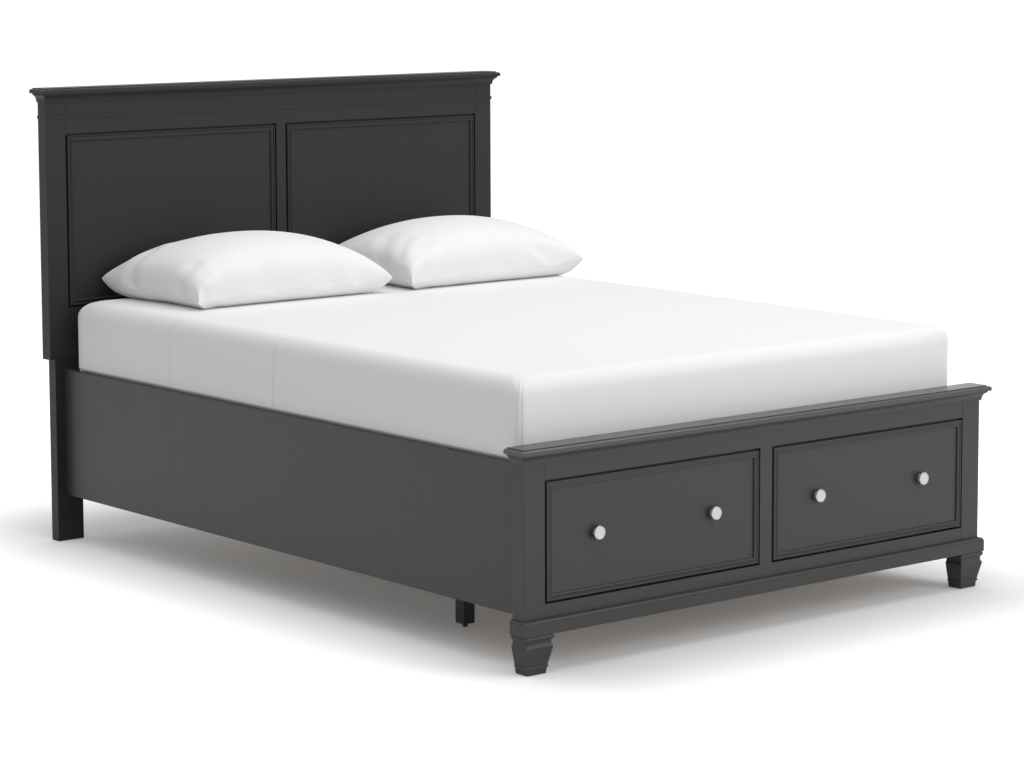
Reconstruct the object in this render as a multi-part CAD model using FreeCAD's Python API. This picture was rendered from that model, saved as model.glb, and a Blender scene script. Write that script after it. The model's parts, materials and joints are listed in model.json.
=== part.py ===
import FreeCAD, Part
import math
import os
from FreeCAD import Vector

# Queen storage bed, in millimetres.
# The origin is on the floor at the centre of the bed's outline, +Y towards the headboard, +Z up.

# Driving sizes of the whole bed
board_thickness = 45.0           # footboard and headboard frames
small_edge = 1.5                 # eased edges of painted boards
overrun = 20.0                   # how far cutting shapes run past what they cut
screw_clearance = 0.15
fastener_sides = 8
joint_line = 1.2                 # fine chamfer that shows where two boards meet
seat_clearance = 0.3             # between soft pieces and what they lie on

# Mattress and bedding
mattress_width = 1524.0
mattress_length = 2072.0
mattress_depth = 280.0
mattress_foot_gap = 34.0         # from the footboard's back to the foot of the mattress
mattress_head_gap = 48.0         # from the head of the mattress to the headboard's front
mattress_side_gap = 2.0          # from the mattress to the side rails
mattress_swell = 7.5             # how far the sides swell out above the rails
mattress_swell_height = 34.0
mattress_edge_round = 46.0
mattress_corner_round = 22.0
mattress_bottom_round = 18.0
swell_share = 0.6                # of the swell, reached half way up its curve
sheet_thickness = 1.2
pillow_length = 710.0            # corner to corner
pillow_depth = 480.0
pillow_crown = 192.0
pillow_back_gap = 14.0           # from a pillow's back corners to the headboard
right_pillow_overhang = 75.0     # how far the right pillow reaches past the mattress's width
pillow_gap = 72.0                # between the two pillows
pillow_side_draw = 36.0          # how far a side draws in at its middle
pillow_side_steps = 6

# Rings of a pillow from its base to its crown: shares of its outline and of its crown
pillow_ring_shares = [
    (0.74, 0), (0.92, 0.07), (1.0, 0.26), (0.95, 0.44), (0.84, 0.64), (0.69, 0.81), (0.49, 0.93), (0.26, 1.0),
]

# Footboard
foot_reach = 31.0                # how far the footboard reaches past the side rails
foot_board_bottom = 99.8
foot_bottom_rail_height = 72.0
foot_top_rail_height = 69.1
foot_cap_rise = 32.3             # from the side rails' top to the cap
mid_stile_thickness = 22.0

# Cap boards, the same section on both ends of the bed
cap_thickness = 15.6
cap_band_height = 9.7
cap_ovolo_width = 10.5
cap_step = 3.0
cap_back_round = 3.6
foot_cap_side = 21.5
foot_cap_front = 25.5
foot_cap_back = 5.5
head_cap_side = 22.4
head_cap_front = 23.6
head_cap_back = 7.0

# Crown moulding under the caps: shares of its projection and height
crown_projection = 16.0
crown_height = 26.5
crown_shares = [(0, 0), (0.25, 0), (0.25, 0.08), (0.42, 0.50, 0.85, 0.79), (1, 0.79), (1, 1), (0, 1)]

# Base moulding of the footboard
base_front = 16.5
base_side = 8.7
base_height = 38.2
base_shares = [(0, 0), (1, 0), (1, 0.80), (0.88, 0.80), (0.76, 0.93, 0.25, 0.97), (0.25, 1), (0, 1)]

# Feet: reach beyond the sole, against height
sole_width = 58.2
sole_depth = 46.5
sole_outer_inset = 9.9           # from the side of the footboard to the sole
sole_front = 1.8                 # how far the sole stands before the face
foot_bottom_reach = 2.0
foot_bottom_height = 16.0
foot_collar_reach = 5.0
foot_collar_height = 19.0
foot_taper_reach = 3.0
foot_taper_height = 22.0
foot_flare_reach = 13.5
foot_flare_height = 69.6
foot_cove_reach = 9.3
foot_cove_height = 78.0
foot_neck_reach = 10.8
foot_neck_height = 87.0
foot_bead_reach = 14.8
foot_bolt_radius = 4.0
foot_bolt_length = 90.0
foot_bolt_sink = 40.0            # how much of the bolt is in the foot

# Headboard
head_reach = 20.1                # how far the headboard reaches past its legs
head_body_rise = 31.6            # from the side rails' top to the headboard's lower edge
head_bottom_rail_height = 152.4
head_panel_height = 517.9
head_top_rail_height = 120.6
head_stile_width = 65.3
head_mid_stile_width = 34.4
head_bead_height = 9.5
head_bead_drop = 70.9            # from the cap down to the middle of the bead
head_bead_proud = 6.4
bead_shares = [(0, 0), (0.35, 0), (0.35, 0.12), (1.0, 0.5, 0.35, 0.88), (0.35, 1), (0, 1)]

# Headboard legs
leg_width = 87.2
leg_thickness = 38.4
leg_reach = 31.4                 # how far a leg reaches past the side rails
tenon_shoulder = 8.0
leg_tenon_thickness = 16.0
leg_tenon_length = 80.0
tenon_clearance = 0.2
leg_sole_edge = 2.0

# Panels and their moulding frames
shadow_groove = 6.0              # from the opening's edge to the moulding
shadow_groove_depth = 10.5
field_recess = 1.5               # the flat field lies this far behind the frame's face
panel_tongue = 8.0
panel_tongue_thickness = 8.0
tongue_clearance = 0.4
mould_width = 17.0
mould_height = 5.5
mould_shares = [
    (0, 0), (0, 0.40), (0.147, 0.71, 0.294, 0.40), (0.33, 0.25), (0.494, 0.345, 0.618, 0.71),
    (0.665, 0.71), (0.824, 1.0, 0.982, 0.71), (1, 0.64), (1, 0),
]

# Side rails, cleats, slats and centre beam
rail_thickness = 20.0
rail_bottom = 137.8
rail_height = 380.5
rail_edge_round = 3.0
cleat_width = 30.0
cleat_height = 40.0
deck_drop = 73.3                 # from the rails' top to the top of the slats
cleat_plate_gap = 6.0            # from the hook plates to the cleats
slat_count = 13
slat_width = 78.0
slat_thickness = 20.0
slat_end_gap = 2.0
slat_cleat_gap = 8.0             # from the cleats' ends to the first and last slats
beam_width = 60.0
beam_height = 40.0
beam_end_gap = 30.0
beam_leg_side = 44.0
beam_leg_shares = [0.52, 0.93]   # along the bed space
support_leg_side = 36.0
support_leg_inset = 174.8        # from the side of the drawer case to its leg
support_leg_edge = 2.0
glide_radius = 7.5
glide_height = 10.0
glide_edge = 2.5
glide_stem_radius = 3.0
glide_stem_length = 16.0

# Drawer case
case_rail_gap = 4.2              # from the case to the side rails
case_back_gap = 51.5             # from the drawer boxes to the back panel
case_floor_gap = 6.0             # from the case's lower edge up to the drawer boxes
case_side_thickness = 12.0
case_partition_thickness = 18.0
partition_centre_gap = 3.3       # from the bed's middle to each partition
case_back_thickness = 18.0
rear_rail_depth = 36.0
rear_rail_height = 40.0

# Drawers
drawer_gap = 3.0                 # between the drawer front and its opening
drawer_front_thickness = 20.0
drawer_box_lift = 24.2           # from the opening's lower edge up to the box
drawer_box_top_gap = 9.0         # from the box up to the centre beam
drawer_side_thickness = 12.0
drawer_bottom_thickness = 6.0
drawer_bottom_lift = 10.0
drawer_groove_depth = 6.0

# Runners: three nested channels, seen end on
runner_length = 450.0
runner_middle_short = 10.0       # the middle member is this much shorter
runner_start = 2.5               # behind the drawer front
runner_lift = 72.0               # runner middle above the box's lower edge
runner_metal = 1.2
runner_outer_height = 45.7
runner_outer_depth = 9.6
runner_ball_gap = 3.2            # between neighbouring flanges
runner_web_gap = 0.8
runner_middle_depth = 8.8
runner_nest = 0.6                # the inner member is this much shallower than the middle one
runner_side_clearance = 2.2      # from the middle member to the drawer box
runner_cage_start = 5.3          # ball cages, measured from the case wall
runner_cage_width = 3.4
runner_cage_play = 0.3

# Knobs
knob_rise = 5.05                 # above the middle of the opening
knob_inset = 166.3               # from the opening's sides
knob_radius = 17.8
knob_length = 17.0
knob_head_thickness = 6.2
knob_edge_round = 1.6
knob_rim_width = 2.6
knob_dish_depth = 0.8
knob_stem_radius = 8.6
knob_foot_radius = 10.6
knob_foot_thickness = 2.2
knob_screw_radius = 2.0
knob_screw_head_radius = 4.2
knob_screw_head_height = 2.4
knob_screw_bite = 9.0

# Hook plates that join the rails to the boards
plate_metal = 2.5
hook_plate_length = 56.0
hook_plate_height = 120.0
hook_plate_lift = 112.2          # above the rail's lower edge
hook_plate_setback = 0.4
hook_neck = 18.0
hook_reach = 12.0
hook_lip = 5.0
hook_shares = [0.18, 0.68]       # places of the two hooks along the plate's height
slot_plate_width = 20.0
slot_plate_margin = 5.0
slot_clearance = 0.6
hook_pocket_clearance = 2.0
hook_screw_radius = 2.4
hook_screw_length = 16.0
hook_screw_head_radius = 4.4
hook_screw_head_height = 1.6
hook_screw_shares = [0.16, 0.5, 0.84]
slot_screw_shares = [0.03, 0.5, 0.97]

# Places across the bed, from its middle outwards
rail_inner_half = mattress_width / 2 + mattress_side_gap
rail_outer_half = rail_inner_half + rail_thickness
foot_half_width = rail_outer_half + foot_reach
leg_outer_half = rail_outer_half + leg_reach
head_half_width = leg_outer_half + head_reach
case_half = rail_inner_half - case_rail_gap
opening_half = case_half - case_side_thickness
opening_inner = case_partition_thickness + partition_centre_gap
support_leg_x = case_half - support_leg_inset
knob_inner_x = opening_inner + knob_inset
knob_outer_x = opening_half - knob_inset
right_pillow_x = mattress_width / 2 + right_pillow_overhang - pillow_length / 2
left_pillow_x = right_pillow_x - pillow_length - pillow_gap

# Heights, from the floor up
rail_top = rail_bottom + rail_height
deck_top = rail_top - deck_drop
cleat_top = deck_top - slat_thickness
beam_bottom = cleat_top - beam_height
mattress_top = deck_top + mattress_depth
foot_cap_bottom = rail_top + foot_cap_rise
foot_opening_top = foot_cap_bottom - foot_top_rail_height
foot_opening_bottom = foot_board_bottom + foot_bottom_rail_height
knob_height = (foot_opening_bottom + foot_opening_top) / 2 + knob_rise
head_body_bottom = rail_top + head_body_rise
head_opening_bottom = head_body_bottom + head_bottom_rail_height
head_opening_top = head_opening_bottom + head_panel_height
head_cap_bottom = head_opening_top + head_top_rail_height
head_bead_middle = head_cap_bottom - head_bead_drop
drawer_box_bottom = foot_opening_bottom + drawer_box_lift
drawer_box_height = beam_bottom - drawer_box_top_gap - drawer_box_bottom
case_bottom = drawer_box_bottom - case_floor_gap
hook_plate_bottom = rail_bottom + hook_plate_lift

# Places along the bed
bed_space_length = mattress_foot_gap + mattress_length + mattress_head_gap
drawer_box_length = runner_length + 2 * runner_start
case_depth = field_recess + drawer_front_thickness + drawer_box_length + case_back_gap + case_back_thickness
cleat_start_gap = hook_plate_length + cleat_plate_gap
slat_first_gap = cleat_start_gap + slat_cleat_gap
total_depth = foot_cap_front + board_thickness + bed_space_length + board_thickness + head_cap_back
foot_face = foot_cap_front - total_depth / 2
foot_back = foot_face + board_thickness
head_face = foot_back + bed_space_length
head_back = head_face + board_thickness
leg_face = head_back - leg_thickness
case_back_face = foot_face + case_depth

# Runner sizes that follow one another
runner_middle_length = runner_length - runner_middle_short
runner_inner_depth = runner_middle_depth - runner_nest
drawer_box_gap = runner_metal + runner_web_gap + runner_middle_depth + runner_side_clearance

mirror_plane = (Vector(0, 0, 0), Vector(1, 0, 0))

X = Vector(1, 0, 0)
Y = Vector(0, 1, 0)
Z = Vector(0, 0, 1)


# Helpers for outlines, boards and mouldings
def block(x0, x1, y0, y1, z0, z1):
    return Part.makeBox(x1 - x0, y1 - y0, z1 - z0, Vector(x0, y0, z0))


def mirrored(shape):
    return shape.mirror(*mirror_plane)


def closed_face(place, points):
    """Face inside an outline. A point of four numbers is an arc: the point it passes and the point it ends on."""
    start = place(*points[0])
    here = start
    edges = []
    for point in points[1:]:
        there = place(*point[-2:])
        if len(point) == 4:
            edges.append(Part.Arc(here, place(*point[:2]), there).toShape())
        else:
            edges.append(Part.makeLine(here, there))
        here = there
    if not here.isEqual(start, 0):
        edges.append(Part.makeLine(here, start))
    return Part.Face(Part.Wire(edges))


def sized(shares, width, height):
    """Turns an outline given in shares of a width and a height into one given in lengths."""
    scale = (width, height)
    return [tuple(share * scale[i % 2] for i, share in enumerate(point)) for point in shares]


def moulding(corner, run, across, proud, length, section, start_slope, end_slope):
    """A straight moulding from corner along run. Each end slopes out by its slope per unit across, for a mitre."""
    width = max(point[-2] for point in section)
    tall = max(point[-1] for point in section)
    start = corner - run * (abs(start_slope) * width)
    whole = length + (abs(start_slope) + abs(end_slope)) * width
    bar = closed_face(lambda a, b: start + across * a + proud * b, section).extrude(run * whole)
    mitre = [(0, 0), (length, 0), (length + end_slope * width, width), (-start_slope * width, width)]
    cutter = closed_face(lambda a, b: corner + run * a + across * b - proud * overrun, mitre)
    return bar.common(cutter.extrude(proud * (tall + overrun + overrun)))


def crossed(end_outline, side_outline, x_span, y_span):
    """The form that shows end_outline from the front and side_outline from the side."""
    front = closed_face(lambda a, b: Vector(a, y_span[0], b), end_outline).extrude(Y * (y_span[1] - y_span[0]))
    side = closed_face(lambda a, b: Vector(x_span[0], a, b), side_outline).extrude(X * (x_span[1] - x_span[0]))
    return front.common(side)


def ring_of_sides(centre, direction, radius):
    """Regular polygon for small fasteners, which need no rounder form."""
    side = Z if abs(direction.z) < abs(direction.x) + abs(direction.y) else X
    other = direction.cross(side)
    turns = [2 * math.pi * i / fastener_sides for i in range(fastener_sides)]
    corners = [centre + side * (radius * math.cos(t)) + other * (radius * math.sin(t)) for t in turns]
    return Part.makePolygon(corners + corners[:1])


def rod(centre, direction, radius, length):
    return Part.Face(ring_of_sides(centre, direction, radius)).extrude(direction * length)


def picked(shape, wanted):
    """Straight edges that wanted picks by their middle point and direction."""
    return [e for e in shape.Edges
            if len(e.Vertexes) == 2 and wanted(e.CenterOfMass, e.tangentAt(e.FirstParameter))]


def eased(shape, radius, wanted):
    return shape.makeFillet(radius, picked(shape, wanted))


def along(tangent, axis):
    """Whether an edge runs along an axis."""
    return abs(tangent.dot(axis)) > math.cos(math.pi / 4)


def jointed(board, front, ends):
    """Board with fine chamfers on its front edges at the given places along X, where it meets its neighbours."""
    lines = picked(board, lambda p, t: along(t, Z) and p.y < front + joint_line
                   and any(abs(p.x - end) < joint_line for end in ends))
    return board.makeChamfer(joint_line, lines)


def softened(board, axis):
    """Board with small chamfers along its four long edges."""
    return board.makeChamfer(small_edge, picked(board, lambda p, t: along(t, axis)))


nodes = {}


def keep(name, *solids):
    nodes[name] = solids[0] if len(solids) == 1 else Part.makeCompound(list(solids))


# Caps, crown, base and bead mouldings
def cap_board(half, front, back, bottom):
    """Cap board with an ovolo on its front and ends and a small round on its back."""
    top = bottom + cap_thickness
    shoulder = top - cap_step
    lean = 1 - math.cos(math.pi / 4)
    rise = shoulder - bottom - cap_band_height
    bend = (cap_ovolo_width * lean, cap_band_height + rise * (1 - lean))
    ovolo = cap_ovolo_width
    ends = [
        (-half, bottom), (half, bottom), (half, bottom + cap_band_height),
        (half - bend[0], bottom + bend[1], half - ovolo, shoulder), (half - ovolo, top),
        (ovolo - half, top), (ovolo - half, shoulder),
        (bend[0] - half, bottom + bend[1], -half, bottom + cap_band_height),
    ]
    sides = [
        (front, bottom), (back, bottom), (back, top - cap_back_round),
        (back - cap_back_round * lean, top - cap_back_round * lean, back - cap_back_round, top),
        (front + ovolo, top), (front + ovolo, shoulder),
        (front + bend[0], bottom + bend[1], front, bottom + cap_band_height),
    ]
    return crossed(ends, sides, (-half, half), (front, back))


def wrapped_moulding(half, face, depth, bottom, shares, front_out, side_out, height):
    """Front strip and two returns round the front corners of a board."""
    corner = Vector(-half, face, bottom)
    front = moulding(corner, X, -Y, Z, 2 * half, sized(shares, front_out, height),
                     side_out / front_out, side_out / front_out)
    left = moulding(corner, Y, -X, Z, depth, sized(shares, side_out, height), front_out / side_out, 0)
    return [front, left, mirrored(left)]


def framed_moulding(x0, x1, z0, z1, back_y):
    """Four mitred strips round an opening, standing forward of back_y."""
    section = sized(mould_shares, mould_width, mould_height)
    low = Vector(x0, back_y, z0)
    high = Vector(x1, back_y, z1)
    wide = x1 - x0
    tall = z1 - z0
    return [
        moulding(low, X, Z, -Y, wide, section, -1, -1),
        moulding(low, Z, X, -Y, tall, section, -1, -1),
        moulding(high, -X, -Z, -Y, wide, section, -1, -1),
        moulding(high, -Z, -X, -Y, tall, section, -1, -1),
    ]


# Hook plates, slot plates and their pockets, built at the right side and at the foot end
plate_x = rail_inner_half - plate_metal
slot_plate_x = plate_x + (plate_metal - slot_plate_width) / 2
hook_heights = [hook_plate_bottom + share * hook_plate_height for share in hook_shares]
slot_plate_bottom = hook_plate_bottom - slot_plate_margin
slot_plate_height = hook_plate_height + 2 * slot_plate_margin


def hook_set(face, inward):
    """Hook plate, slot plate, screws and pockets for a board whose inner face is at face; inward is +Y or -Y."""
    step = inward.y

    def at(depth):
        return face + step * depth

    def slab(x0, x1, d0, d1, z0, z1):
        return block(x0, x1, min(at(d0), at(d1)), max(at(d0), at(d1)), z0, z1)

    plate = slab(plate_x, rail_inner_half, hook_plate_setback, hook_plate_length,
                 hook_plate_bottom, hook_plate_bottom + hook_plate_height)
    slots = slab(slot_plate_x, slot_plate_x + slot_plate_width, -plate_metal, 0,
                 slot_plate_bottom, slot_plate_bottom + slot_plate_height)
    seat = slots.copy()
    pockets = []
    for low in hook_heights:
        neck = slab(plate_x, rail_inner_half, -hook_reach, hook_plate_setback, low, low + hook_neck)
        lip = slab(plate_x, rail_inner_half, -hook_reach, -plate_metal - slot_clearance, low - hook_lip, low)
        plate = plate.fuse(neck).fuse(lip)
        opening = slab(plate_x - slot_clearance, rail_inner_half + slot_clearance, -plate_metal - overrun, overrun,
                       low - hook_lip - slot_clearance, low + hook_neck + slot_clearance)
        slots = slots.cut(opening)
        pockets.append(slab(plate_x - hook_pocket_clearance, rail_inner_half + hook_pocket_clearance,
                            -hook_reach - hook_pocket_clearance, -plate_metal,
                            low - hook_lip - hook_pocket_clearance, low + hook_neck + hook_pocket_clearance))
    plate = plate.removeSplitter()
    screws = []
    holes = []
    for share in hook_screw_shares:
        middle = Vector(plate_x, at(hook_plate_length - hook_screw_head_radius * 2),
                        hook_plate_bottom + share * hook_plate_height)
        screws.append(flat_screw(middle, X))
        holes.append(flat_screw(middle, X, screw_clearance))
    for share in slot_screw_shares:
        middle = Vector(slot_plate_x + slot_plate_width / 2, face, slot_plate_bottom + share * slot_plate_height)
        middle.z = min(max(middle.z, slot_plate_bottom + slot_plate_margin + hook_screw_head_height),
                       slot_plate_bottom + slot_plate_height - slot_plate_margin - hook_screw_head_height)
        screws.append(flat_screw(middle, inward * -1))
        holes.append(flat_screw(middle, inward * -1, screw_clearance))
    for hole in holes:
        plate = plate.cut(hole)
        slots = slots.cut(hole)
    return {"plate": plate, "slots": slots, "seat": seat, "pockets": pockets, "screws": screws, "holes": holes}


def flat_screw(head, into, clearance=0):
    """Countersunk screw whose flat head lies at head and whose shank runs along into."""
    wide = ring_of_sides(head, into, hook_screw_head_radius + clearance)
    neck = ring_of_sides(head + into * (hook_screw_head_height + clearance), into, hook_screw_radius + clearance)
    cone = Part.makeLoft([wide, neck], True, True)
    return cone.fuse(rod(head, into, hook_screw_radius + clearance, hook_screw_length + clearance)).removeSplitter()


foot_hooks = hook_set(foot_back, Y)
head_hooks = hook_set(leg_face, -Y)


def cut_all(shape, tools):
    for tool in tools:
        shape = shape.cut(tool)
    return shape


# Footboard
def foot():
    """Moulded foot with a flat back: tapered shaft, flare, cove and bead."""
    outer = foot_half_width - sole_outer_inset
    inner = outer - sole_width
    front = foot_face - sole_front
    back = front + sole_depth
    bead_height = (foot_neck_height + foot_board_bottom) / 2
    rise = [
        (foot_bottom_reach, foot_bottom_height),
        (foot_collar_reach, foot_collar_height, foot_taper_reach, foot_taper_height),
        (foot_flare_reach, foot_flare_height),
        (foot_cove_reach, foot_cove_height, foot_neck_reach, foot_neck_height),
        (foot_bead_reach, bead_height, foot_neck_reach, foot_board_bottom),
    ]
    joints = [(0, 0)] + [step[-2:] for step in rise]
    vias = [step[:2] if len(step) == 4 else None for step in rise]

    def climb(edge, sign):
        """The outline going up, reaching out from edge."""
        return [tuple(v for pair in ([vias[i]] if vias[i] else []) + [joints[i + 1]]
                      for v in (edge + sign * pair[0], pair[1])) for i in range(len(rise))]

    def descend(edge, sign):
        """The same outline going down."""
        path = []
        for i in reversed(range(len(rise))):
            pairs = ([vias[i]] if vias[i] else []) + [joints[i]]
            path.append(tuple(v for pair in pairs for v in (edge + sign * pair[0], pair[1])))
        return path

    ends = [(inner, 0), (outer, 0)] + climb(outer, 1) + [(inner - foot_neck_reach, foot_board_bottom)]
    ends += descend(inner, -1)
    sides = [(back, 0), (back, foot_board_bottom), (front - foot_neck_reach, foot_board_bottom)]
    sides += descend(front, -1)
    x_span = (inner - foot_bead_reach - overrun, outer + foot_bead_reach + overrun)
    y_span = (front - foot_bead_reach - overrun, back + overrun)
    shape = crossed(ends, sides, x_span, y_span)
    middle = Vector((inner + outer) / 2, (front + back) / 2, foot_board_bottom - foot_bolt_sink)
    bolt = rod(middle, Z, foot_bolt_radius, foot_bolt_length)
    hole = rod(middle, Z, foot_bolt_radius + screw_clearance, foot_bolt_length + screw_clearance)
    return shape.cut(hole), bolt, hole


right_foot, right_bolt, bolt_hole = foot()
keep("footboard_right_foot", right_foot)
keep("footboard_left_foot", mirrored(right_foot))
keep("foot_bolts", right_bolt, mirrored(right_bolt))

stile = block(opening_half, foot_half_width, foot_face, foot_back, foot_board_bottom, foot_cap_bottom)
stile = eased(stile, small_edge, lambda p, t: along(t, Z) and p.x > opening_half + small_edge)
stile = cut_all(stile, [foot_hooks["seat"], bolt_hole] + foot_hooks["pockets"] + foot_hooks["holes"])
keep("footboard_right_stile", stile)
keep("footboard_left_stile", mirrored(stile))
rail_ends = (-opening_half, opening_half)
keep("footboard_top_rail",
     jointed(block(-opening_half, opening_half, foot_face, foot_back, foot_opening_top, foot_cap_bottom),
             foot_face, rail_ends))
keep("footboard_bottom_rail",
     jointed(block(-opening_half, opening_half, foot_face, foot_back, foot_board_bottom, foot_opening_bottom),
             foot_face, rail_ends))
keep("footboard_middle_stile",
     block(-opening_inner, opening_inner, foot_face, foot_face + mid_stile_thickness,
           foot_opening_bottom, foot_opening_top))
keep("footboard_cap",
     cap_board(foot_half_width + foot_cap_side, foot_face - foot_cap_front, foot_back + foot_cap_back,
               foot_cap_bottom))
keep("footboard_crown_moulding",
     *wrapped_moulding(foot_half_width, foot_face, board_thickness, foot_cap_bottom - crown_height,
                       crown_shares, crown_projection, crown_projection, crown_height))
keep("footboard_base_moulding",
     *wrapped_moulding(foot_half_width, foot_face, board_thickness, foot_board_bottom,
                       base_shares, base_front, base_side, base_height))

# Headboard
head_opening_half = head_half_width - head_stile_width
head_mid_half = head_mid_stile_width / 2
tongue_front = head_face + shadow_groove_depth
tongue_back = tongue_front + panel_tongue_thickness


def panel(x0, x1, z0, z1):
    """Fielded panel: a raised flat field on a thin plate whose edges are tongues in the frame's grooves."""
    plate = block(x0 - panel_tongue, x1 + panel_tongue, tongue_front, tongue_back, z0 - panel_tongue, z1 + panel_tongue)
    field = block(x0 + shadow_groove, x1 - shadow_groove, head_face + field_recess, tongue_front,
                  z0 + shadow_groove, z1 - shadow_groove)
    return plate.fuse(field).removeSplitter()


def tongue_room(x0, x1, z0, z1):
    """What the frame loses to one panel's tongues."""
    deep = panel_tongue + tongue_clearance
    return block(x0 - deep, x1 + deep, tongue_front, tongue_back, z0 - deep, z1 + deep)


panel_span = (head_mid_half, head_opening_half, head_opening_bottom, head_opening_top)
right_room = tongue_room(*panel_span)
rooms = [right_room, mirrored(right_room)]
right_panel = panel(*panel_span)
keep("headboard_right_panel", right_panel)
keep("headboard_left_panel", mirrored(right_panel))
right_frame = framed_moulding(head_mid_half + shadow_groove, head_opening_half - shadow_groove,
                              head_opening_bottom + shadow_groove, head_opening_top - shadow_groove,
                              head_face + field_recess)
keep("headboard_right_panel_moulding", *right_frame)
keep("headboard_left_panel_moulding", *[mirrored(strip) for strip in right_frame])

leg_inner = leg_outer_half - leg_width
leg_tenon_width = leg_outer_half - head_opening_half - 2 * tenon_shoulder
tenon_x = (leg_outer_half + head_opening_half) / 2
tenon_y = (leg_face + head_back) / 2


def tenon(clearance):
    half_x = leg_tenon_width / 2 + clearance
    half_y = leg_tenon_thickness / 2 + clearance
    return block(tenon_x - half_x, tenon_x + half_x, tenon_y - half_y, tenon_y + half_y,
                 head_body_bottom - clearance, head_body_bottom + leg_tenon_length + clearance)


leg = block(leg_inner, leg_outer_half, leg_face, head_back, 0, head_body_bottom)
leg = leg.makeChamfer(leg_sole_edge, [e for e in leg.Edges if e.CenterOfMass.z < leg_sole_edge])
leg = eased(leg, small_edge, lambda p, t: along(t, Z) and p.z > leg_sole_edge)
leg = leg.fuse(tenon(0)).removeSplitter()
leg = cut_all(leg, [head_hooks["seat"]] + head_hooks["pockets"] + head_hooks["holes"])
keep("headboard_right_leg", leg)
keep("headboard_left_leg", mirrored(leg))

head_stile = block(head_opening_half, head_half_width, head_face, head_back, head_body_bottom, head_cap_bottom)
head_stile = eased(head_stile, small_edge, lambda p, t: along(t, Z) and p.x > head_opening_half + small_edge)
head_stile = cut_all(head_stile, [right_room, tenon(tenon_clearance)])
keep("headboard_right_stile", head_stile)
keep("headboard_left_stile", mirrored(head_stile))
keep("headboard_middle_stile",
     cut_all(block(-head_mid_half, head_mid_half, head_face, head_back, head_opening_bottom, head_opening_top), rooms))
head_rail_ends = (-head_opening_half, head_opening_half)
keep("headboard_bottom_rail",
     cut_all(jointed(block(-head_opening_half, head_opening_half, head_face, head_back,
                           head_body_bottom, head_opening_bottom), head_face, head_rail_ends), rooms))
keep("headboard_top_rail",
     cut_all(jointed(block(-head_opening_half, head_opening_half, head_face, head_back,
                           head_opening_top, head_cap_bottom), head_face, head_rail_ends), rooms))
keep("headboard_cap",
     cap_board(head_half_width + head_cap_side, head_face - head_cap_front, head_back + head_cap_back,
               head_cap_bottom))
keep("headboard_crown_moulding",
     *wrapped_moulding(head_half_width, head_face, board_thickness, head_cap_bottom - crown_height,
                       crown_shares, crown_projection, crown_projection, crown_height))
keep("headboard_bead_moulding",
     *wrapped_moulding(head_half_width, head_face, board_thickness, head_bead_middle - head_bead_height / 2,
                       bead_shares, head_bead_proud, head_bead_proud, head_bead_height))

# Side rails and their hook plates
rail = block(rail_inner_half, rail_outer_half, foot_back, leg_face, rail_bottom, rail_top)
rail = eased(rail, rail_edge_round, lambda p, t: along(t, Y))
rail = cut_all(rail, foot_hooks["holes"] + head_hooks["holes"])
keep("right_side_rail", rail)
keep("left_side_rail", mirrored(rail))
plates = [foot_hooks["plate"], head_hooks["plate"]]
keep("rail_hook_plates", *(plates + [mirrored(p) for p in plates]))
slot_plates = [foot_hooks["slots"], head_hooks["slots"]]
keep("rail_slot_plates", *(slot_plates + [mirrored(p) for p in slot_plates]))
plate_screws = foot_hooks["screws"] + head_hooks["screws"]
keep("rail_plate_screws", *(plate_screws + [mirrored(s) for s in plate_screws]))

# Cleats, slats, centre beam and its legs
cleat = block(rail_inner_half - cleat_width, rail_inner_half, foot_back + cleat_start_gap,
              leg_face - cleat_start_gap, cleat_top - cleat_height, cleat_top)
cleat = softened(cleat, Y)
keep("slat_cleats", cleat, mirrored(cleat))

slat_half = rail_inner_half - slat_end_gap
first_slat = foot_back + slat_first_gap
slat_run = leg_face - slat_first_gap - slat_width - first_slat
slats = []
for i in range(slat_count):
    y = first_slat + slat_run * i / (slat_count - 1)
    slats.append(softened(block(-slat_half, slat_half, y, y + slat_width, cleat_top, deck_top), X))
keep("slats", *slats)

beam_half = beam_width / 2
keep("centre_beam", softened(block(-beam_half, beam_half, foot_back + beam_end_gap, head_face - beam_end_gap,
                                   beam_bottom, cleat_top), Y))


def support_leg(x, y, side, top):
    """Square leg with eased soles, bored for its glide."""
    half = side / 2
    post = block(x - half, x + half, y - half, y + half, glide_height, top)
    sole = [e for e in post.Edges if e.CenterOfMass.z < glide_height + support_leg_edge]
    post = post.makeChamfer(support_leg_edge, sole)
    bore = rod(Vector(x, y, glide_height), Z, glide_stem_radius + screw_clearance,
               glide_stem_length + screw_clearance)
    return post.cut(bore)


def glide(x, y):
    """Levelling glide: a round pad with an eased sole, on a stem."""
    profile = [(0, 0), (glide_radius - glide_edge, 0), (glide_radius, glide_edge), (glide_radius, glide_height),
               (0, glide_height)]
    pad = closed_face(lambda r, h: Vector(x + r, y, h), profile).revolve(Vector(x, y, 0), Z, 360)
    stem = rod(Vector(x, y, glide_height / 2), Z, glide_stem_radius, glide_height / 2 + glide_stem_length)
    return pad.fuse(stem).removeSplitter()


beam_leg_places = [(0, foot_back + share * bed_space_length) for share in beam_leg_shares]
keep("centre_beam_legs", *[support_leg(x, y, beam_leg_side, beam_bottom) for x, y in beam_leg_places])

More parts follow.
